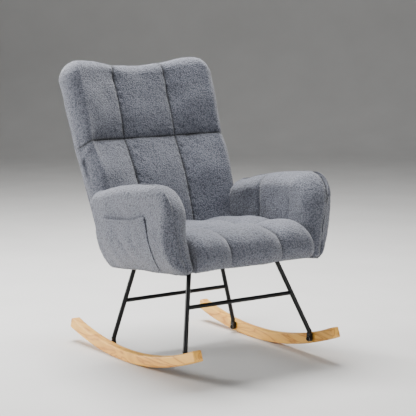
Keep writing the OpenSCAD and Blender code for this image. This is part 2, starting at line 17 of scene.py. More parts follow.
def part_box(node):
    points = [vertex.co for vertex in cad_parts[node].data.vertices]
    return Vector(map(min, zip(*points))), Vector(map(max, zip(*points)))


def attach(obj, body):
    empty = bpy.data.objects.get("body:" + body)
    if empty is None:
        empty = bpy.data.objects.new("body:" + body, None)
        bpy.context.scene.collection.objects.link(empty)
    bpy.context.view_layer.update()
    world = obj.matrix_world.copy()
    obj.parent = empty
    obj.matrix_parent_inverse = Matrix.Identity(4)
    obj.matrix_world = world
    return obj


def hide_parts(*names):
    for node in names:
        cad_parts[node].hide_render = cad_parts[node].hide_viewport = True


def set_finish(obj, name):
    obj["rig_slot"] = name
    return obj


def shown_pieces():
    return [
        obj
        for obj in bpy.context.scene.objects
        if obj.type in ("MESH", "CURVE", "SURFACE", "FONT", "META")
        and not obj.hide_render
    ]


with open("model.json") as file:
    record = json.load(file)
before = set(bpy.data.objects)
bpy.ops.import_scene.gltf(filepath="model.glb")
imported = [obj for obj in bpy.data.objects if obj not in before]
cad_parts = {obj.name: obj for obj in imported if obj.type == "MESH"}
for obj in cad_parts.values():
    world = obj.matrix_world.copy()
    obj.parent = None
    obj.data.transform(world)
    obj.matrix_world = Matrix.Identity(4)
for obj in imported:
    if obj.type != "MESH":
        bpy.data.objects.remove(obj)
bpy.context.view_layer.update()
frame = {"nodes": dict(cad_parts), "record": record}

# --- Driving dimensions, in metres ---

# The back leans about its foot; u runs up its slope, v to its rear
BACK_LEAN = math.radians(22.6)
BACK_BASE = (0.107, 0.300)
BACK_LENGTH = 0.739
BACK_CORNER = 0.072
BACK_DIP = 0.020
BACK_HALF_WIDTHS = ((0.020, 0.268), (0.16, 0.283), (0.39, 0.297), (0.63, 0.306))
BACK_SEAM_X = 0.094
BACK_CREST_V = -0.016
BACK_HOLLOW = 0.038
BACK_CURVE_HALF = 0.262
BACK_SEAM_V = 0.044
BACK_REAR_V = 0.061
BACK_REAR_WRAP = 0.016
BACK_CROSS_SEAM_U = 0.460
BACK_CROSS_SEAM_FALL = 0.026
BACK_CROSS_SEAM_HALF = 0.274
BACK_ROLL = 0.046
BACK_SEAM_DEPTH = 0.042
BACK_SEAM_SWEEP = 0.016
BACK_STRAP_V = 0.0125
BACK_MIN_ROOM = 0.006
BACK_SIDE = 0.020
BACK_REAR_ROLL = 0.034
BACK_REAR_TUCK = 0.006
BACK_LUMBAR = 0.014
BACK_LUMBAR_U = 0.27
BACK_LUMBAR_REACH = 0.14

# Seat: two rows of three lobes, with a rolled front
SEAT_HALF = 0.2325
SEAM_X = 0.100
SEAT_TILT = math.radians(5.6)
SEAT_UNDERSIDE = 0.312
SEAT_SEAM_DEPTH = 0.025
SEAT_CROSS_SEAM_Y = -0.170
SEAT_ROLL = 0.034
SEAT_SIDE_DROP = 0.030
SEAT_CROWN = 0.004
SEAT_LOBE_POWER = 3.2
# Past this y the back hides the seat, which is drawn in to this share of its length
SEAT_HIDDEN_Y = 0.100
SEAT_HIDDEN_SHARE = 0.56

# Arms
ARM_IN_X = 0.233
ARM_OUT_X = 0.334
ARM_FOOT_X = 0.282
ARM_BELLY = 0.14
ARM_FRONT_Y = -0.342
ARM_CORNER = 0.082
ARM_SEAM_CORNER = 0.112
ARM_REAR_CORNER = 0.046
ARM_TOP_Z = 0.620
ARM_REAR_Z = 0.561
ARM_DROP = 0.005
ARM_SEAM_FOOT_X = 0.262
ARM_SEAM_SPREAD = 0.056
ARM_SEAM_HEIGHT = 0.26
ARM_SEAM_REAR_SHIFT = 0.022
ARM_ROLL = 0.033
ARM_REAR_ROLL = 0.016
ARM_FOOT_ROLL = 0.008
ARM_REAR_FOOT_Y = 0.098
ARM_LENGTH = 0.46
ARM_HEIGHT = 0.27
# Seams of the inner panel, as (y, depth), which fade out down its height
ARM_PANEL_SEAMS = ((-0.045, 0.006), (-0.215, 0.002))
ARM_PANEL_FADE = (0.40, 0.46)

# Fabric
CURL = 0.0006

# Grid spacing of the covers
FINE_GRID = 0.0042
REAR_GRID = 0.0060
SEAT_GRID = 0.0040


def underside(y):
    """Height of the seat's underside at y."""
    return SEAT_UNDERSIDE - y * math.tan(SEAT_TILT)


# --- Curves and grids ---

def arc(cx, cy, radius, start, end, count=14):
    """Points on an arc, from one angle in degrees to another."""
    turn = np.radians(np.linspace(start, end, count))
    return np.stack([cx + radius * np.cos(turn), cy + radius * np.sin(turn)], 1)


def along(line, shares):
    """Points at these shares of a polyline's length."""
    line = np.asarray(line, float)
    steps = np.linalg.norm(np.diff(line, axis=0), axis=1)
    reach = np.concatenate([[0], np.cumsum(steps)]) / steps.sum()
    return np.stack([np.interp(shares, reach, line[:, k]) for k in range(line.shape[1])], -1)


def smooth_curve(points, count=160):
    """A Catmull-Rom curve through a few points, as a fine polyline."""
    p = np.asarray(points, float)
    p = np.vstack([2 * p[0] - p[1], p, 2 * p[-1] - p[-2]])
    out = []
    for i in range(1, len(p) - 2):
        t = np.linspace(0, 1, count // (len(p) - 3), endpoint=False)[:, None]
        a, b, c, d = p[i - 1], p[i], p[i + 1], p[i + 2]
        out.append(0.5 * (2 * b + (c - a) * t + (2 * a - 5 * b + 4 * c - d) * t ** 2
                          + (3 * b - a - 3 * c + d) * t ** 3))
    return np.vstack(out + [p[-2:-1]])


def stations(edges, spacing, crowd=0.45):
    """Places across panels that end at these edges, closer together beside each seam."""
    out = []
    for low, high in zip(edges[:-1], edges[1:]):
        count = max(6, int(round((high - low) / spacing)))
        even = np.linspace(-1, 1, count + 1)
        shaped = (1 - crowd) * even + crowd * np.sin(even * math.pi / 2)
        out.append(low + (high - low) * (shaped[:-1] + 1) / 2)
    return np.concatenate(out + [[edges[-1]]])


def panel_place(at, edges, open_low=False, open_high=False):
    """How far each place is from the middle of its panel, from -1 to 1; open ends stay at 0."""
    index = np.clip(np.searchsorted(edges, at, side="right") - 1, 0, len(edges) - 2)
    low, high = np.asarray(edges)[index], np.asarray(edges)[index + 1]
    s = 2 * (at - low) / (high - low) - 1
    if open_low:
        s = np.where((index == 0) & (s < 0), 0, s)
    if open_high:
        s = np.where((index == len(edges) - 2) & (s > 0), 0, s)
    return s


def puff(s, power=2.4):
    """A stuffed panel's height across its width: 1 in the middle, 0 at its seams."""
    return np.sqrt(np.clip(1 - np.abs(s) ** power, 0, 1))


def coons(bottom, top, left, right, a, b):
    """A grid of points between four edge curves, each running the same way as its opposite."""
    low, high = along(bottom, a)[:, None], along(top, a)[:, None]
    west, east = along(left, b)[None], along(right, b)[None]
    s, t = a[:, None, None], b[None, :, None]
    corners = ((1 - s) * (1 - t) * bottom[0] + s * (1 - t) * bottom[-1]
               + (1 - s) * t * top[0] + s * t * top[-1])
    return (1 - t) * low + t * high + (1 - s) * west + s * east - corners


def distance_to(points, line, chunk=4000):
    """Distance from each 2-D point to a polyline."""
    flat = points.reshape(-1, 2)
    a, b = line[:-1], line[1:]
    d = b - a
    length2 = np.maximum((d ** 2).sum(1), 1e-12)
    out = np.empty(len(flat))
    for i in range(0, len(flat), chunk):
        p = flat[i:i + chunk, None]
        t = np.clip(((p - a) * d).sum(2) / length2, 0, 1)
        out[i:i + chunk] = np.sqrt((((a + t[..., None] * d) - p) ** 2).sum(2).min(1))
    return out.reshape(points.shape[:-1])


def roll(distance, radius):
    """Height of a rounded edge at a distance from the outline: 0 at it, 1 past its radius."""
    t = np.clip(1 - distance / radius, 0, 1)
    return np.sqrt(1 - t ** 2)


def ease(x, low, high):
    """0 below low, 1 above high, smooth between."""
    t = np.clip((x - low) / (high - low), 0, 1)
    return t * t * (3 - 2 * t)


def grid_normals(points):
    """Unit normals of a grid of points, along its first axis crossed with its second."""
    n = np.cross(np.gradient(points, axis=0), np.gradient(points, axis=1))
    return n / np.maximum(np.linalg.norm(n, axis=-1, keepdims=True), 1e-12)


def waves(points, length, seed, count=28):
    """Smooth noise in -1 to 1 with about this wavelength, the same on each run."""
    source = np.random.default_rng(seed)
    directions = source.normal(size=(count, 3))
    directions /= np.linalg.norm(directions, axis=1, keepdims=True)
    scale = 2 * math.pi / (length * source.uniform(0.75, 1.35, count))
    phase = source.uniform(0, 2 * math.pi, count)
    out = np.zeros(points.shape[:-1])
    for d, k, p in zip(directions, scale, phase):
        out += np.sin(points @ d * k + p)
    return out / math.sqrt(count / 2) / 2


# --- Meshes ---

def boundary(n, m):
    """Indices of an n by m grid's boundary, in order."""
    grid = np.arange(n * m).reshape(n, m)
    return np.concatenate([grid[:, 0], grid[-1, 1:], grid[-2::-1, -1], grid[0, -2:0:-1]])


def closed_mesh(name, patch, rings):
    """A closed mesh: a grid of points, rings that follow its boundary, and a cap on the last."""
    n, m = patch.shape[:2]
    grid = np.arange(n * m).reshape(n, m)
    faces = [tuple(int(i) for i in f) for f in np.stack(
        [grid[:-1, :-1], grid[1:, :-1], grid[1:, 1:], grid[:-1, 1:]], -1).reshape(-1, 4)]
    points = [patch.reshape(-1, 3)]
    last, total = boundary(n, m), n * m
    for ring in rings:
        new = np.arange(total, total + len(ring))
        faces += [(int(last[i]), int(last[i - 1]), int(new[i - 1]), int(new[i]))
                  for i in range(len(ring))]
        points.append(ring)
        last, total = new, total + len(ring)
    points.append(points[-1].mean(0, keepdims=True))
    faces += [(int(last[i]), int(last[i - 1]), total) for i in range(len(last))]
    return new_object(name, np.vstack(points), faces)


def new_object(name, points, faces):
    mesh = bpy.data.meshes.new(name)
    mesh.from_pydata([tuple(p) for p in points], [], faces)
    mesh.update()
    made = bmesh.new()
    made.from_mesh(mesh)
    bmesh.ops.recalc_face_normals(made, faces=made.faces)
    made.to_mesh(mesh)
    made.free()
    mesh.polygons.foreach_set("use_smooth", [True] * len(mesh.polygons))
    obj = bpy.data.objects.new(name, mesh)
    bpy.context.scene.collection.objects.link(obj)
    return obj


def vertices(obj):
    co = np.empty(len(obj.data.vertices) * 3)
    obj.data.vertices.foreach_get("co", co)
    return co.reshape(-1, 3)


def set_vertices(obj, points):
    obj.data.vertices.foreach_set("co", points.ravel())
    obj.data.update()


def normals(obj):
    out = np.empty(len(obj.data.vertices) * 3)
    obj.data.vertex_normals.foreach_get("vector", out)
    return out.reshape(-1, 3)


def paint_seam_shade(obj, shares):
    """Stores how close each point of a cover is to a seam, 1 on it; there the fabric gets painted shade,
    standing in for the shade in the seam's crevice.
    """
    values = np.zeros(len(obj.data.vertices))
    values[:shares.size] = shares.ravel()
    layer = obj.data.attributes.new("painted_seam_shade", "FLOAT", "POINT")
    layer.data.foreach_set("value", values)


def near_seam(share, half_width, reach=0.0032):
    """1 on a seam, falling off over a few millimetres; share is the place across the panel."""
    return np.exp(-(1 - np.abs(share)) * half_width / reach)


def fleece(obj, seed):
    """Raises the curls of the teddy fabric and the soft unevenness of its stuffing."""
    points, n = vertices(obj), normals(obj)
    height = (0.0022 * waves(points, 0.11, seed) + CURL * waves(points, 0.013, seed + 1)
              + 0.55 * CURL * waves(points, 0.0085, seed + 2))
    height += 0.35 * CURL * np.random.default_rng(seed + 3).normal(size=len(points))
    set_vertices(obj, points + n * height[:, None])


def mirrored(obj, name):
    """A copy of obj on the other side of the chair."""
    points = vertices(obj) * np.array([-1, 1, 1])
    faces = [tuple(reversed(p.vertices)) for p in obj.data.polygons]
    copy = new_object(name, points, faces)
    # The copy keeps the painted seam shade.
    if "painted_seam_shade" in obj.data.attributes:
        values = np.empty(len(points))
        obj.data.attributes["painted_seam_shade"].data.foreach_get("value", values)
        paint_seam_shade(copy, values)
    return copy


def shrink(ring, amount):
    """A ring drawn in towards its own middle by about an amount, in its first two axes."""
    middle = ring.mean(0)
    away = ring - middle
    length = np.linalg.norm(away, axis=1, keepdims=True)
    return middle + away * (1 - amount / np.maximum(length, 1e-6))


def cap_rings(place, flat, height, shares=(0.8, 0.45)):
    """Rings that close a pad's hidden side, at one height over the flat outline."""
    middle = flat.mean(0)
    return [place(middle + (flat - middle) * s, height) for s in shares]


def lay(obj, *nodes, slot="teddy_fabric"):
    """Hangs a piece on the chair's one body, in place of CAD nodes."""
    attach(obj, "root")
    if nodes:
        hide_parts(*nodes)
    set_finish(obj, slot)
    return obj


# --- Back ---

def in_back(flat, v):
    """Points of the back from (x, u) and v, in the chair's frame."""
    x, u = flat[..., 0], flat[..., 1]
    s, c = math.sin(BACK_LEAN), math.cos(BACK_LEAN)
    return np.stack([x, BACK_BASE[0] + u * s + v * c, BACK_BASE[1] + u * c - v * s], -1)


def back_bend(x):
    """How far the back has curved forward at x: 0 in the middle, 1 at its sides."""
    return np.minimum(np.abs(x) / BACK_CURVE_HALF, 1) ** 2


def back_edges():
    """The back's outline as bottom, top, left and right curves of (x, u)."""
    widths = np.array(BACK_HALF_WIDTHS)
    foot_u = widths[0, 0]
    cx = widths[-1, 1] - BACK_CORNER
    cu = BACK_LENGTH - BACK_CORNER
    side = np.vstack([widths[:-1, ::-1], arc(cx, cu, BACK_CORNER, 0, 50, 10)])
    x = np.linspace(cx, -cx, 40)
    dip = np.stack([x, BACK_LENGTH - BACK_DIP / 2 * (1 + np.cos(math.pi * x / cx))], 1)
    top = np.vstack([arc(cx, cu, BACK_CORNER, 50, 90, 8)[:-1], dip,
                     arc(-cx, cu, BACK_CORNER, 90, 130, 8)[1:]])[::-1]
    bottom = np.array([[-widths[0, 1], foot_u], [widths[0, 1], foot_u]])
    return bottom, top, side * np.array([-1, 1]), side


def back_flat(spacing):
    """A grid over the back's outline, with its seams on grid lines; and each place's panel shares."""
    bottom, top, left, right = back_edges()
    half_top = np.abs(top[:, 0]).max()
    seam_a = 0.5 + 0.5 * BACK_SEAM_X / half_top
    seam_b = (BACK_CROSS_SEAM_U - bottom[0, 1]) / (BACK_LENGTH - bottom[0, 1]) * 0.995
    a_edges = [0, 1 - seam_a, seam_a, 1]
    b_edges = [0, seam_b, 1]
    a = stations(a_edges, spacing / (2 * half_top))
    b = stations(b_edges, spacing / BACK_LENGTH)
    flat = coons(bottom, top, left, right, a, b)
    fall = BACK_CROSS_SEAM_FALL * (np.abs(flat[..., 0]) / BACK_CROSS_SEAM_HALF) ** 2
    near = np.where(b < seam_b, b / seam_b, (1 - b) / (1 - seam_b))[None]
    flat[..., 1] -= fall * near ** 1.5
    s = panel_place(a, a_edges, open_low=True, open_high=True)[:, None] + 0 * b[None]
    t = panel_place(b, b_edges, open_low=True, open_high=True)[None] + 0 * a[:, None]
    outline = np.vstack([bottom, right, top[::-1], left[::-1]])
    return flat, s, t, distance_to(flat, outline)


def in_back_direction():
    """The way the back's front faces."""
    return np.array([0, -math.cos(BACK_LEAN), math.sin(BACK_LEAN)])


def back_cushion():
    flat, s, t, inset = back_flat(FINE_GRID)
    x = flat[..., 0]
    lumbar = np.exp(-((flat[..., 1] - BACK_LUMBAR_U) / BACK_LUMBAR_REACH) ** 2)
    crest = BACK_CREST_V - BACK_HOLLOW * back_bend(x) - BACK_LUMBAR * lumbar
    seam_v = BACK_SEAM_V - BACK_SEAM_SWEEP * back_bend(x)
    edge_v = seam_v - BACK_SIDE
    v = edge_v - (edge_v - crest) * roll(inset, BACK_ROLL)
    base = in_back(flat, v)
    outward = -grid_normals(base)
    outward *= np.sign((outward * in_back_direction()).sum(-1).mean())
    room = np.clip(BACK_STRAP_V - v, BACK_MIN_ROOM, BACK_SEAM_DEPTH)
    across, lengthwise = puff(s, 1.9), puff(t, 2.1)
    shape = 1 - across * lengthwise - 0.40 * (1 - across) * lengthwise - 0.12 * across * (1 - lengthwise)
    depth = room * shape * (0.16 + 0.84 * ease(inset, 0.004, 0.075))
    pucker = 0.0016 * waves(base, 0.024, 31) * np.exp(-((1 - puff(s) * puff(t)) - 0.62) ** 2 / 0.04)
    patch = base - outward * (depth + pucker)[..., None]
    edge = boundary(*flat.shape[:2])
    flat_edge, edge_v = flat.reshape(-1, 2)[edge], edge_v.reshape(-1)[edge]
    rings = [in_back(shrink(flat_edge, BACK_REAR_TUCK * share ** 2), edge_v + BACK_SIDE * share)
             for share in (0.3, 0.6, 0.9)]
    rings.append(in_back(shrink(flat_edge, BACK_REAR_TUCK + 0.004), edge_v + BACK_SIDE))
    rings += cap_rings(in_back, flat_edge, edge_v.max() + BACK_SIDE)
    cushion = closed_mesh("back_cushion_cover", patch, rings)
    # Painted shade along the back's seams
    paint_seam_shade(cushion, np.maximum(near_seam(s, 0.10), near_seam(t, 0.17)))
    fleece(cushion, 11)
    return lay(cushion, "back_cushion")


def back_rear_panel():
    flat, _, _, inset = back_flat(REAR_GRID)
    x = flat[..., 0]
    edge_v = BACK_SEAM_V - BACK_SEAM_SWEEP * back_bend(x) + 0.001
    face_v = BACK_REAR_V - BACK_REAR_WRAP * back_bend(x) + 0.004
    v = edge_v + (face_v - edge_v) * roll(inset, BACK_REAR_ROLL)
    flat = shrink(flat.reshape(-1, 2), BACK_REAR_TUCK).reshape(flat.shape)
    patch = in_back(flat, v)
    edge = boundary(*flat.shape[:2])
    flat_edge, edge_v = flat.reshape(-1, 2)[edge], edge_v.reshape(-1)[edge]
    rings = [in_back(shrink(flat_edge, 0.004), edge_v - 0.003)]
    rings += cap_rings(in_back, flat_edge, edge_v.max() - 0.001)
    panel = closed_mesh("back_rear_cover", patch, rings)
    fleece(panel, 17)
    return lay(panel, "back_rear_panel")


# --- Seat ---

def seat_profile():
    """Crest line of the seat's lobes in (y, z), from the crease at the back to the front's foot."""
    return smooth_curve([(0.195, 0.395), (0.165, 0.412), (0.11, 0.428), (0.00, 0.444),
                         (-0.10, 0.456), (-0.20, 0.464), (-0.27, 0.464), (-0.32, 0.453),
                         (-0.352, 0.430), (-0.367, 0.400), (-0.367, 0.375), (-0.357, 0.354),
                         (-0.343, 0.343)])


def seat_cushion():
    profile = seat_profile()
    steps = np.linalg.norm(np.diff(profile, axis=0), axis=1)
    reach = np.concatenate([[0], np.cumsum(steps)]) / steps.sum()
    cross = reach[np.argmin(np.abs(profile[:, 0] - SEAT_CROSS_SEAM_Y))]
    b_edges = [0, cross, 1]
    a_edges = [-SEAT_HALF, -SEAM_X, SEAM_X, SEAT_HALF]
    a = stations(a_edges, SEAT_GRID)
    b = stations(b_edges, SEAT_GRID / steps.sum())
    line = along(profile, b)
    base = np.empty((len(a), len(b), 3))
    base[..., 0] = a[:, None]
    base[..., 1:] = line[None]
    outward = grid_normals(base)
    outward *= np.sign(outward[len(a) // 2, len(b) // 3, 2])
    s = panel_place(a, a_edges)[:, None]
    t = panel_place(b, b_edges, open_low=True)[None]
    side = roll(SEAT_HALF - np.abs(a), SEAT_ROLL)[:, None]
    s_inner = panel_place(a, a_edges, open_low=True, open_high=True)[:, None]
    rise = puff(s_inner) * puff(t, SEAT_LOBE_POWER)
    depth = SEAT_SEAM_DEPTH * (1 - rise)
    foot = ease(1 - b, 0, 0.16)[None]
    depth = depth * (0.25 + 0.75 * foot) + SEAT_SIDE_DROP * (1 - side) * (0.3 + 0.7 * foot)
    crown = SEAT_CROWN * puff(s) * puff(t, SEAT_LOBE_POWER)
    patch = base + outward * (crown - depth)[..., None]
    behind = np.clip(patch[..., 1] - SEAT_HIDDEN_Y, 0, None)
    patch[..., 1] -= behind * (1 - SEAT_HIDDEN_SHARE)
    edge = boundary(len(a), len(b))
    ring = patch.reshape(-1, 3)[edge]
    down = ring.copy()
    down[:, 2] = underside(down[:, 1]) + 0.0035
    low = shrink(down, 0.006)
    low[:, 2] = underside(low[:, 1]) + 0.001
    middle = low.mean(0)
    rings = [ring * (1 - k) + down * k for k in (0.25, 0.5, 0.75, 1)]
    rings += [low] + [middle + (low - middle) * k + np.array([0, 0, 0.007]) for k in (0.9, 0.4)]
    cushion = closed_mesh("seat_cushion_cover", patch, rings)
    # Painted shade along the seat's seams, fading out down its rolled front
    paint_seam_shade(cushion, 0.8 * np.maximum(near_seam(s_inner, 0.08), near_seam(t, 0.12)) * foot)
    fleece(cushion, 23)
    return lay(cushion, "seat_cushion")


# --- Arms ---

def arm_edges(corner):
    """An arm's side view as bottom, top, front and rear curves of (y, z)."""
    foot = underside(ARM_FRONT_Y) - ARM_DROP
    turn = (ARM_FRONT_Y + 0.009 + corner, ARM_TOP_Z - corner)
    rear_turn = (0.110, ARM_REAR_Z - ARM_REAR_CORNER)
    front = np.vstack([[[ARM_FRONT_Y + 0.004, foot], [ARM_FRONT_Y - 0.006, foot + 0.016],
                        [ARM_FRONT_Y + 0.005, 0.39], [ARM_FRONT_Y + 0.009, 0.45]],
                       arc(*turn, corner, 180, 135, 10)])
    crest = smooth_curve([(turn[0] + 0.01, ARM_TOP_Z), (-0.06, 0.598), (0.03, 0.581), (0.10, 0.562)], 60)
    top = np.vstack([arc(*turn, corner, 135, 95, 10), crest[5:-4],
                     arc(*rear_turn, ARM_REAR_CORNER, 72, 36, 7)])
    rear_foot = (ARM_REAR_FOOT_Y, underside(ARM_REAR_FOOT_Y) - ARM_DROP)
    rear = np.vstack([[rear_foot, [0.114, 0.455]],
                      arc(*rear_turn, ARM_REAR_CORNER, 0, 36, 7)])
    return np.array([front[0], rear[0]]), top, front, rear


def arm_outer_x(z, y):
    """Outer face of an arm: straight above its belly, tapering in to the foot."""
    below = np.clip(1 - (z - underside(y)) / ARM_BELLY, 0, 1)
    return ARM_OUT_X - (ARM_OUT_X - ARM_FOOT_X) * below ** 2.7


def arm_seam_x(z, y):
    """Where the outer and inner panels of an arm are sewn together."""
    height = np.clip((z - underside(y)) / ARM_SEAM_HEIGHT, 0, 1)
    return (ARM_SEAM_FOOT_X + ARM_SEAM_SPREAD * height ** 0.9
            - ARM_SEAM_REAR_SHIFT * ease(y, -0.27, -0.15))


def arm_flat(spacing, corner):
    """A grid over an arm's side view, and its distances to the upper, rear and lower edges."""
    bottom, top, front, rear = arm_edges(corner)
    a = stations([0, 1], spacing / ARM_LENGTH, crowd=0.5)
    b = stations([0, 1], spacing / ARM_HEIGHT, crowd=0.5)
    flat = coons(bottom, top, front, rear, a, b)
    upper = distance_to(flat, np.vstack([front, top]))
    return flat, upper, distance_to(flat, rear), distance_to(flat, bottom)


def arm_place(flat, x):
    return np.stack([x + 0 * flat[..., 0], flat[..., 0], flat[..., 1]], -1)


def arm_pad(name, outer):
    """One panel of the left arm, stuffed out from the seam plane."""
    flat, upper, rear, lower = arm_flat(FINE_GRID, ARM_CORNER if outer else ARM_SEAM_CORNER)
    sewn, _, _, _ = arm_flat(FINE_GRID, ARM_SEAM_CORNER)
    y, z = flat[..., 0], flat[..., 1]
    seam = arm_seam_x(z, y)
    if outer:
        face = arm_outer_x(z, y)
        swell = roll(upper, ARM_ROLL) * roll(rear, ARM_REAR_ROLL) * roll(lower, ARM_FOOT_ROLL)
        start = seam
    else:
        face = ARM_IN_X + 0 * z
        swell = roll(upper, 0.016 + 0.036 * ease(z, 0.35, 0.43)) * roll(lower, ARM_FOOT_ROLL)
        start = seam + 0.0005
        for seam_y, seam_depth in ARM_PANEL_SEAMS:
            face = face + seam_depth * np.exp(-np.abs(y - seam_y) / 0.006) * ease(z, *ARM_PANEL_FADE)
    patch = arm_place(flat, start + (face - start) * swell)
    edge = boundary(*flat.shape[:2])
    flat_edge, sewn_edge = flat.reshape(-1, 2)[edge], sewn.reshape(-1, 2)[edge]
    start_edge, seam_edge = start.reshape(-1)[edge], seam.reshape(-1)[edge]
    rings = []
    for turn in (np.radians((25, 50, 75, 90)) if outer else ()):
        share = 1 - math.cos(turn)
        rings.append(arm_place(flat_edge + (sewn_edge - flat_edge) * share,
                               start_edge + (seam_edge + 0.002 - start_edge) * math.sin(turn)))
    rings.append(arm_place(shrink(sewn_edge, 0.003), seam_edge))
    middle = flat_edge.mean(0)
    rings += [arm_place(middle + (sewn_edge - middle) * k, seam.mean() + 0 * seam_edge)
              for k in (0.75, 0.4)]
    pad = closed_mesh(name, patch, rings)
    if not outer:
        first, second = (np.exp(-np.abs(y - seam_y) / 0.003) for seam_y, _ in ARM_PANEL_SEAMS)
        # Painted shade along the inner panel's seams, fading out down its height
        paint_seam_shade(pad, np.maximum(0.8 * first, 0.2 * second) * ease(z, *ARM_PANEL_FADE))
    fleece(pad, 41 if outer else 47)
    return pad


def arms():
    for part, outer in (("inner", False), ("outer", True)):
        left = arm_pad(f"left_arm_{part}_cover", outer)
        right = mirrored(left, f"right_arm_{part}_cover")
        for side, pad in (("left", left), ("right", right)):
            lay(pad, f"{side}_arm_{part}_pad")


# --- Side pocket ---

POCKET_MOUTH = ((0.040, 0.482), (-0.05, 0.487), (-0.129, 0.497), (-0.207, 0.513))
POCKET_FRONT = ((-0.207, 0.513), (-0.226, 0.456), (-0.238, 0.405), (-0.238, 0.345))
POCKET_REAR = ((0.040, 0.482), (0.047, 0.40), (0.064, 0.312))
POCKET_CLOTH = 0.0020
POCKET_GAP = 0.0010
POCKET_GRID = 0.0035
POCKET_WIDTH = 0.25
POCKET_HEIGHT = 0.17
# The hem band: the shares of the height it runs between, its gap, grid and thickness
HEM_SHARES = (0.93, 1.012)
HEM_GAP = 0.0012
HEM_GRID = 0.0028
HEM_CLOTH = 0.0032


def sheet_mesh(name, patch, thickness):
    """A sheet of cloth from a grid of points: two faces joined by a thin edge."""
    n, m = patch.shape[:2]
    grid = np.arange(n * m).reshape(n, m)
    front = np.stack([grid[:-1, :-1], grid[1:, :-1], grid[1:, 1:], grid[:-1, 1:]], -1).reshape(-1, 4)
    back = front[:, ::-1] + n * m
    edge = boundary(n, m)
    rim = np.stack([edge, np.roll(edge, 1), np.roll(edge, 1) + n * m, edge + n * m], 1)
    under = patch - grid_normals(patch) * thickness
    points = np.vstack([patch.reshape(-1, 3), under.reshape(-1, 3)])
    return new_object(name, points, [tuple(int(i) for i in f) for f in np.vstack([front, back, rim])])


def pocket_patch(arm, low=0.0, high=1.0, lift=0.0, spacing=POCKET_GRID):
    """A grid over the pocket's panel on the right arm, from a share of its height to another."""
    mouth, front = smooth_curve(POCKET_MOUTH, 60), smooth_curve(POCKET_FRONT, 60)
    rear = smooth_curve(POCKET_REAR, 60)
    a = stations([0, 1], spacing / POCKET_WIDTH)
    b = low + (high - low) * stations([0, 1], spacing / (POCKET_HEIGHT * (high - low)))
    bottom = np.array([rear[-1], front[-1]])
    flat = coons(bottom, mouth, rear[::-1], front[::-1], a, b)
    y, z = flat[..., 0], flat[..., 1]
    across = 1 - (2 * a[:, None] - 1) ** 4
    height = b[None]
    slack = across * (0.002 * ease(height, 0, 0.25) + 0.004 * height ** 3)
    return np.stack([arm_face(arm, y, z) - POCKET_GAP - slack - lift, y, z], -1)


def arm_face(arm, y, z):
    """Outermost x of the right arm's cover at each (y, z), smoothed along the grid."""
    tree = BVHTree.FromPolygons([tuple(p) for p in vertices(arm)],
                                [tuple(p.vertices) for p in arm.data.polygons])
    start, inward = -2 * ARM_OUT_X, Vector((1, 0, 0))
    x = np.full(y.shape, np.nan)
    for i, j in np.ndindex(y.shape):
        hit = tree.ray_cast(Vector((start, y[i, j], z[i, j])), inward)[0]
        x[i, j] = hit.x if hit else -arm_outer_x(z[i, j], y[i, j])
    for _ in range(3):
        padded = np.pad(x, 1, mode="edge")
        x = (padded[:-2, 1:-1] + padded[2:, 1:-1] + padded[1:-1, :-2] + padded[1:-1, 2:]) / 4
    return x


def pocket():
    """A cloth panel sewn down on three sides, its mouth slack, with a hem band along it."""
    arm = bpy.data.objects["right_arm_outer_cover"]
    patch = pocket_patch(arm)
    panel = sheet_mesh("pocket_cloth", patch, -POCKET_CLOTH)
    hem = sheet_mesh("pocket_hem_band", pocket_patch(arm, *HEM_SHARES, HEM_GAP, HEM_GRID), -HEM_CLOTH)
    fleece(panel, 53)
    fleece(hem, 59)
    lay(panel, "pocket_panel")
    lay(hem, "pocket_hem")


# --- Cloth under the seat ---

DUST_MARGIN = 0.0125
DUST_REAR_MARGIN = 0.002
DUST_CLOTH = 0.0012
DUST_GRID = 0.012
DUST_SAG = 0.0012
DUST_LIFT = 0.0018
WINDOW_GAP = 0.001


def plate_window(name):
    """The opening that the dust cover leaves round a mounting plate, as (x, y) limits."""
    low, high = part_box(name)
    slope = math.cos(SEAT_TILT)
    across = low[0] - WINDOW_GAP, high[0] + WINDOW_GAP
    return across, (low[1] / slope - WINDOW_GAP, high[1] / slope + WINDOW_GAP)


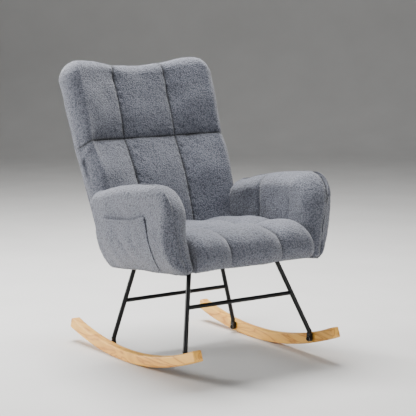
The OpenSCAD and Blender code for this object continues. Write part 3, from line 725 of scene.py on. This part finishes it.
def dust_cover():
    """A black sheet under the seat's board, cut out round the four mounting plates."""
    low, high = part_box("seat_dust_cover")
    slope = math.cos(SEAT_TILT)
    half = high[0] - DUST_MARGIN
    front_y, rear_y = low[1] / slope + DUST_MARGIN, high[1] / slope - DUST_REAR_MARGIN
    windows = [plate_window(f"{end}_{side}_plate")
               for end in ("front", "rear") for side in ("left", "right")]
    cuts_x = sorted({edge for across, _ in windows for edge in across})
    cuts_y = sorted({edge for _, lengthwise in windows for edge in lengthwise})
    xs = stations([-half] + cuts_x + [half], DUST_GRID, crowd=0)
    ys = stations([front_y] + cuts_y + [rear_y], DUST_GRID, crowd=0)
    x, y = np.meshgrid(xs, ys, indexing="ij")
    sag = DUST_SAG * (1 + waves(np.stack([x, y, 0 * x], -1), 0.09, 71))
    height = DUST_LIFT - sag
    s, c = math.sin(SEAT_TILT), math.cos(SEAT_TILT)
    top = np.stack([x, y * c + height * s, SEAT_UNDERSIDE - y * s + height * c], -1)
    under = top - np.array([0, 0, DUST_CLOTH])
    middle_x, middle_y = (xs[:-1] + xs[1:]) / 2, (ys[:-1] + ys[1:]) / 2
    keep = np.ones((len(middle_x), len(middle_y)), bool)
    for across, lengthwise in windows:
        keep &= ~(((middle_x > across[0]) & (middle_x < across[1]))[:, None]
                  & ((middle_y > lengthwise[0]) & (middle_y < lengthwise[1]))[None])
    points = np.vstack([top.reshape(-1, 3), under.reshape(-1, 3)])
    count = top.shape[0] * top.shape[1]
    faces, rim = [], {}
    for i, j in zip(*np.nonzero(keep)):
        corner = int(i) * len(ys) + int(j)
        quad = (corner, corner + len(ys), corner + len(ys) + 1, corner + 1)
        faces += [quad, tuple(k + count for k in reversed(quad))]
        for k in range(4):
            a, b = quad[k], quad[(k + 1) % 4]
            if rim.pop((b, a), None) is None:
                rim[(a, b)] = (b, a, a + count, b + count)
    faces += rim.values()
    used = sorted({k for face in faces for k in face})
    renumber = {k: i for i, k in enumerate(used)}
    sheet = new_object("dust_cover_cloth", points[used], [tuple(renumber[k] for k in f) for f in faces])
    lay(sheet, "seat_dust_cover", slot="dust_cloth")


# --- Materials ---

# Wood runs along y: its rings and its pores are drawn out by these shares
GRAIN_STRETCH = (1.0, 0.16, 1.0)
PORE_STRETCH = (1.0, 0.064, 1.0)


def material(name, base=(0.5, 0.5, 0.5), roughness=0.5, metallic=0.0):
    """A node material, its Principled shader and its node tree."""
    made = bpy.data.materials.new(name)
    made.use_nodes = True
    shader = made.node_tree.nodes["Principled BSDF"]
    shader.inputs["Base Color"].default_value = (*base, 1)
    shader.inputs["Roughness"].default_value = roughness
    shader.inputs["Metallic"].default_value = metallic
    return made, shader, made.node_tree


def node(tree, kind, **settings):
    made = tree.nodes.new(kind)
    for key, value in settings.items():
        if key in made.inputs:
            made.inputs[key].default_value = value
        else:
            setattr(made, key, value)
    return made


def ramp(tree, source, stops):
    """A colour ramp fed by a socket; stops are (place, colour)."""
    made = tree.nodes.new("ShaderNodeValToRGB")
    elements = made.color_ramp.elements
    while len(elements) < len(stops):
        elements.new(0.5)
    for element, (place, colour) in zip(elements, stops):
        element.position = place
        element.color = (*colour, 1)
    tree.links.new(source, made.inputs["Fac"])
    return made.outputs["Color"]


def bump(tree, shader, height, strength, distance):
    made = node(tree, "ShaderNodeBump", Strength=strength, Distance=distance)
    tree.links.new(height, made.inputs["Height"])
    tree.links.new(made.outputs["Normal"], shader.inputs["Normal"])


def place(tree):
    return tree.nodes.new("ShaderNodeTexCoord").outputs["Object"]


def teddy_material():
    made, shader, tree = material("teddy_fabric", roughness=0.95)
    shader.inputs["Specular IOR Level"].default_value = 0.12
    shader.inputs["Sheen Weight"].default_value = 0.35
    shader.inputs["Sheen Roughness"].default_value = 0.6
    at = place(tree)
    curls = node(tree, "ShaderNodeTexVoronoi", Scale=235.0, Randomness=0.85)
    noise = node(tree, "ShaderNodeTexNoise", Scale=520.0, Detail=2.0, Roughness=0.6)
    broad = node(tree, "ShaderNodeTexNoise", Scale=9.0, Detail=2.0)
    warp = node(tree, "ShaderNodeVectorMath", operation="MULTIPLY_ADD")
    soft = node(tree, "ShaderNodeTexNoise", Scale=70.0, Detail=2.0)
    tree.links.new(at, soft.inputs["Vector"])
    tree.links.new(soft.outputs["Color"], warp.inputs[0])
    warp.inputs[1].default_value = (0.006, 0.006, 0.006)
    tree.links.new(at, warp.inputs[2])
    for texture in (curls, noise):
        tree.links.new(warp.outputs["Vector"], texture.inputs["Vector"])
    tree.links.new(at, broad.inputs["Vector"])
    mixed = node(tree, "ShaderNodeMath", operation="MULTIPLY_ADD")
    tree.links.new(noise.outputs["Fac"], mixed.inputs[0])
    mixed.inputs[1].default_value = 0.30
    tree.links.new(curls.outputs["Distance"], mixed.inputs[2])
    speckle = ramp(tree, mixed.outputs["Value"], [
        (0.25, (0.214, 0.225, 0.266)), (0.55, (0.157, 0.166, 0.203)), (0.85, (0.066, 0.071, 0.093))])
    tint = ramp(tree, broad.outputs["Fac"], [(0.3, (0.93, 0.93, 0.95)), (0.7, (1.04, 1.04, 1.03))])
    colour = node(tree, "ShaderNodeMix", data_type="RGBA", blend_type="MULTIPLY")
    colour.inputs[0].default_value = 1.0
    tree.links.new(speckle, colour.inputs[6])
    tree.links.new(tint, colour.inputs[7])
    # Painted shade: the covers darken to near black along their seams, in place of the shade in the deep
    # seam crevices
    seams = node(tree, "ShaderNodeAttribute", attribute_name="painted_seam_shade")
    seam_shade_mix = node(tree, "ShaderNodeMix", data_type="RGBA")
    tree.links.new(seams.outputs["Fac"], seam_shade_mix.inputs[0])
    tree.links.new(colour.outputs[2], seam_shade_mix.inputs[6])
    seam_shade_mix.inputs[7].default_value = (0.012, 0.013, 0.016, 1)
    tree.links.new(seam_shade_mix.outputs[2], shader.inputs["Base Color"])
    flip = node(tree, "ShaderNodeMath", operation="SUBTRACT")
    flip.inputs[0].default_value = 1.0
    tree.links.new(mixed.outputs["Value"], flip.inputs[1])
    bump(tree, shader, flip.outputs["Value"], 0.85, 0.0026)
    return made


def wood_material(name, dark, light, scale=22.0):
    made, shader, tree = material(name, roughness=0.42)
    shader.inputs["Coat Weight"].default_value = 0.10
    shader.inputs["Coat Roughness"].default_value = 0.35
    at = place(tree)
    stretch = node(tree, "ShaderNodeMapping")
    stretch.inputs["Scale"].default_value = GRAIN_STRETCH
    tree.links.new(at, stretch.inputs["Vector"])
    rings = node(tree, "ShaderNodeTexNoise", Scale=scale, Detail=2.5, Distortion=1.1)
    tree.links.new(stretch.outputs["Vector"], rings.inputs["Vector"])
    bands = node(tree, "ShaderNodeMath", operation="MULTIPLY")
    tree.links.new(rings.outputs["Fac"], bands.inputs[0])
    bands.inputs[1].default_value = 9.0
    turn = node(tree, "ShaderNodeMath", operation="PINGPONG")
    tree.links.new(bands.outputs["Value"], turn.inputs[0])
    turn.inputs[1].default_value = 1.0
    pores = node(tree, "ShaderNodeTexNoise", Scale=420.0, Detail=3.0)
    fine = node(tree, "ShaderNodeMapping")
    fine.inputs["Scale"].default_value = PORE_STRETCH
    tree.links.new(at, fine.inputs["Vector"])
    tree.links.new(fine.outputs["Vector"], pores.inputs["Vector"])
    blend = node(tree, "ShaderNodeMath", operation="MULTIPLY_ADD")
    tree.links.new(pores.outputs["Fac"], blend.inputs[0])
    blend.inputs[1].default_value = 0.35
    tree.links.new(turn.outputs["Value"], blend.inputs[2])
    mid = tuple((d + 2 * l) / 3 for d, l in zip(dark, light))
    tree.links.new(ramp(tree, blend.outputs["Value"], [(0.12, dark), (0.45, mid), (0.95, light)]),
                   shader.inputs["Base Color"])
    bump(tree, shader, blend.outputs["Value"], 0.25, 0.0006)
    return made


def coated_steel():
    made, shader, tree = material("black_steel", (0.003, 0.003, 0.003), roughness=0.33)
    shader.inputs["Specular IOR Level"].default_value = 0.35
    grain = node(tree, "ShaderNodeTexNoise", Scale=900.0, Detail=2.0)
    tree.links.new(place(tree), grain.inputs["Vector"])
    tree.links.new(ramp(tree, grain.outputs["Fac"], [(0.3, (0.002, 0.002, 0.002)),
                                                     (0.7, (0.005, 0.005, 0.006))]),
                   shader.inputs["Base Color"])
    bump(tree, shader, grain.outputs["Fac"], 0.35, 0.0004)
    return made


def zinc():
    made, shader, tree = material("zinc_steel", (0.55, 0.56, 0.57), roughness=0.38, metallic=1.0)
    grain = node(tree, "ShaderNodeTexNoise", Scale=600.0, Detail=3.0)
    tree.links.new(place(tree), grain.inputs["Vector"])
    tree.links.new(ramp(tree, grain.outputs["Fac"], [(0.3, (0.42, 0.43, 0.45)),
                                                     (0.7, (0.66, 0.66, 0.66))]),
                   shader.inputs["Base Color"])
    bump(tree, shader, grain.outputs["Fac"], 0.2, 0.0003)
    return made


def woven(name, dark, light, scale):
    made, shader, tree = material(name, roughness=0.9)
    at = place(tree)
    wave_x = node(tree, "ShaderNodeTexWave", Scale=scale, bands_direction="X")
    wave_y = node(tree, "ShaderNodeTexWave", Scale=scale, bands_direction="Y")
    mixed = node(tree, "ShaderNodeMath", operation="MULTIPLY")
    for i, wave in enumerate((wave_x, wave_y)):
        tree.links.new(at, wave.inputs["Vector"])
        tree.links.new(wave.outputs["Fac"], mixed.inputs[i])
    tree.links.new(ramp(tree, mixed.outputs["Value"], [(0.1, dark), (0.8, light)]),
                   shader.inputs["Base Color"])
    bump(tree, shader, mixed.outputs["Value"], 0.4, 0.0005)
    return made


def paint():
    """Gives each slot's pieces and CAD nodes their material."""
    finishes = {
        "teddy_fabric": teddy_material(),
        "rocker_wood": wood_material("rocker_wood", (0.64, 0.23, 0.035), (1.0, 0.54, 0.100)),
        "black_steel": coated_steel(),
        "zinc_steel": zinc(),
        "plywood": wood_material("plywood", (0.42, 0.27, 0.14), (0.66, 0.48, 0.29), scale=30.0),
        "frame_timber": wood_material("frame_timber", (0.48, 0.31, 0.16), (0.74, 0.56, 0.35)),
        "elastic_webbing": woven("elastic_webbing", (0.03, 0.03, 0.035), (0.16, 0.16, 0.17), 400.0),
        "dust_cloth": woven("dust_cloth", (0.008, 0.008, 0.009), (0.03, 0.03, 0.032), 500.0),
    }
    for entry in frame["record"]["subparts"]:
        dress(frame["nodes"][entry["node"]], finishes[entry["material_slot"]])
    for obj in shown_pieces():
        if "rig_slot" in obj:
            dress(obj, finishes[obj["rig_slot"]])


def dress(obj, finish):
    obj.data.materials.clear()
    obj.data.materials.append(finish)


# --- Stage ---

CAMERA_AZIMUTH = math.radians(-34.62)
CAMERA_ELEVATION = math.radians(8.46)
CAMERA_DISTANCE = 4.658
CAMERA_TARGET = (0.013, -0.052, 0.491)
CAMERA_LENS = 119.57
CAMERA_SHIFT = (0.0023, 0.0037)

LIGHT_AIM = (0, 0, 0.5)
# Each light's name, place, size and power in watts
LIGHTS = (("key", (-2.7, 2.0, 1.6), 1.2, 152),
          ("fill", (-0.3, -4.1, 1.6), 2.4, 56),
          ("top", (0.25, 1.0, 3.2), 1.8, 268))


def floor():
    """A pale floor that curves up into a backdrop, far behind the chair as the camera sees it."""
    half, front, curve_start, radius, top = 9.0, -8.0, 6.0, 2.0, 7.0
    bend = arc(curve_start, radius, radius, -90, 0, 16)
    profile = np.vstack([[[front, 0.0]], bend, [[curve_start + radius, top]]])
    c, s = math.cos(CAMERA_AZIMUTH), math.sin(CAMERA_AZIMUTH)
    points = [(x * c - d * s, x * s + d * c, z) for d, z in profile for x in (-half, half)]
    faces = [(2 * i, 2 * i + 1, 2 * i + 3, 2 * i + 2) for i in range(len(profile) - 1)]
    made = new_object("floor", points, faces)
    finish, shader, tree = material("pale_floor", (0.72, 0.71, 0.69), roughness=0.9)
    grain = node(tree, "ShaderNodeTexNoise", Scale=3.0, Detail=3.0)
    tree.links.new(place(tree), grain.inputs["Vector"])
    tree.links.new(ramp(tree, grain.outputs["Fac"], [(0.3, (0.70, 0.69, 0.67)),
                                                     (0.7, (0.74, 0.73, 0.71))]),
                   shader.inputs["Base Color"])
    made.data.materials.append(finish)


def softbox(name, at, size, power):
    light = bpy.data.lights.new(name, "AREA")
    light.energy = power
    light.size = size
    obj = bpy.data.objects.new(name, light)
    obj.location = at
    obj.rotation_euler = (Vector(LIGHT_AIM) - Vector(at)).to_track_quat("-Z", "Y").to_euler()
    bpy.context.scene.collection.objects.link(obj)


def lights():
    world = bpy.data.worlds.new("studio")
    world.use_nodes = True
    background = world.node_tree.nodes["Background"]
    background.inputs["Color"].default_value = (0.80, 0.82, 0.85, 1)
    background.inputs["Strength"].default_value = 0.18
    bpy.context.scene.world = world
    for light in LIGHTS:
        softbox(*light)


def camera():
    """The viewing angle of the reference: 35 degrees to the chair's right, a little above it."""
    level = math.cos(CAMERA_ELEVATION)
    away = Vector((math.sin(CAMERA_AZIMUTH) * level, -math.cos(CAMERA_AZIMUTH) * level,
                   math.sin(CAMERA_ELEVATION)))
    data = bpy.data.cameras.new("camera")
    data.sensor_width = 36
    data.lens = CAMERA_LENS
    data.shift_x, data.shift_y = CAMERA_SHIFT
    obj = bpy.data.objects.new("camera", data)
    obj.location = Vector(CAMERA_TARGET) + away * CAMERA_DISTANCE
    obj.rotation_euler = (-away).to_track_quat("-Z", "Y").to_euler()
    bpy.context.scene.collection.objects.link(obj)
    bpy.context.scene.camera = obj


# --- The scene ---

back_cushion()
back_rear_panel()
seat_cushion()
arms()
pocket()
dust_cover()
paint()
floor()
lights()
camera()
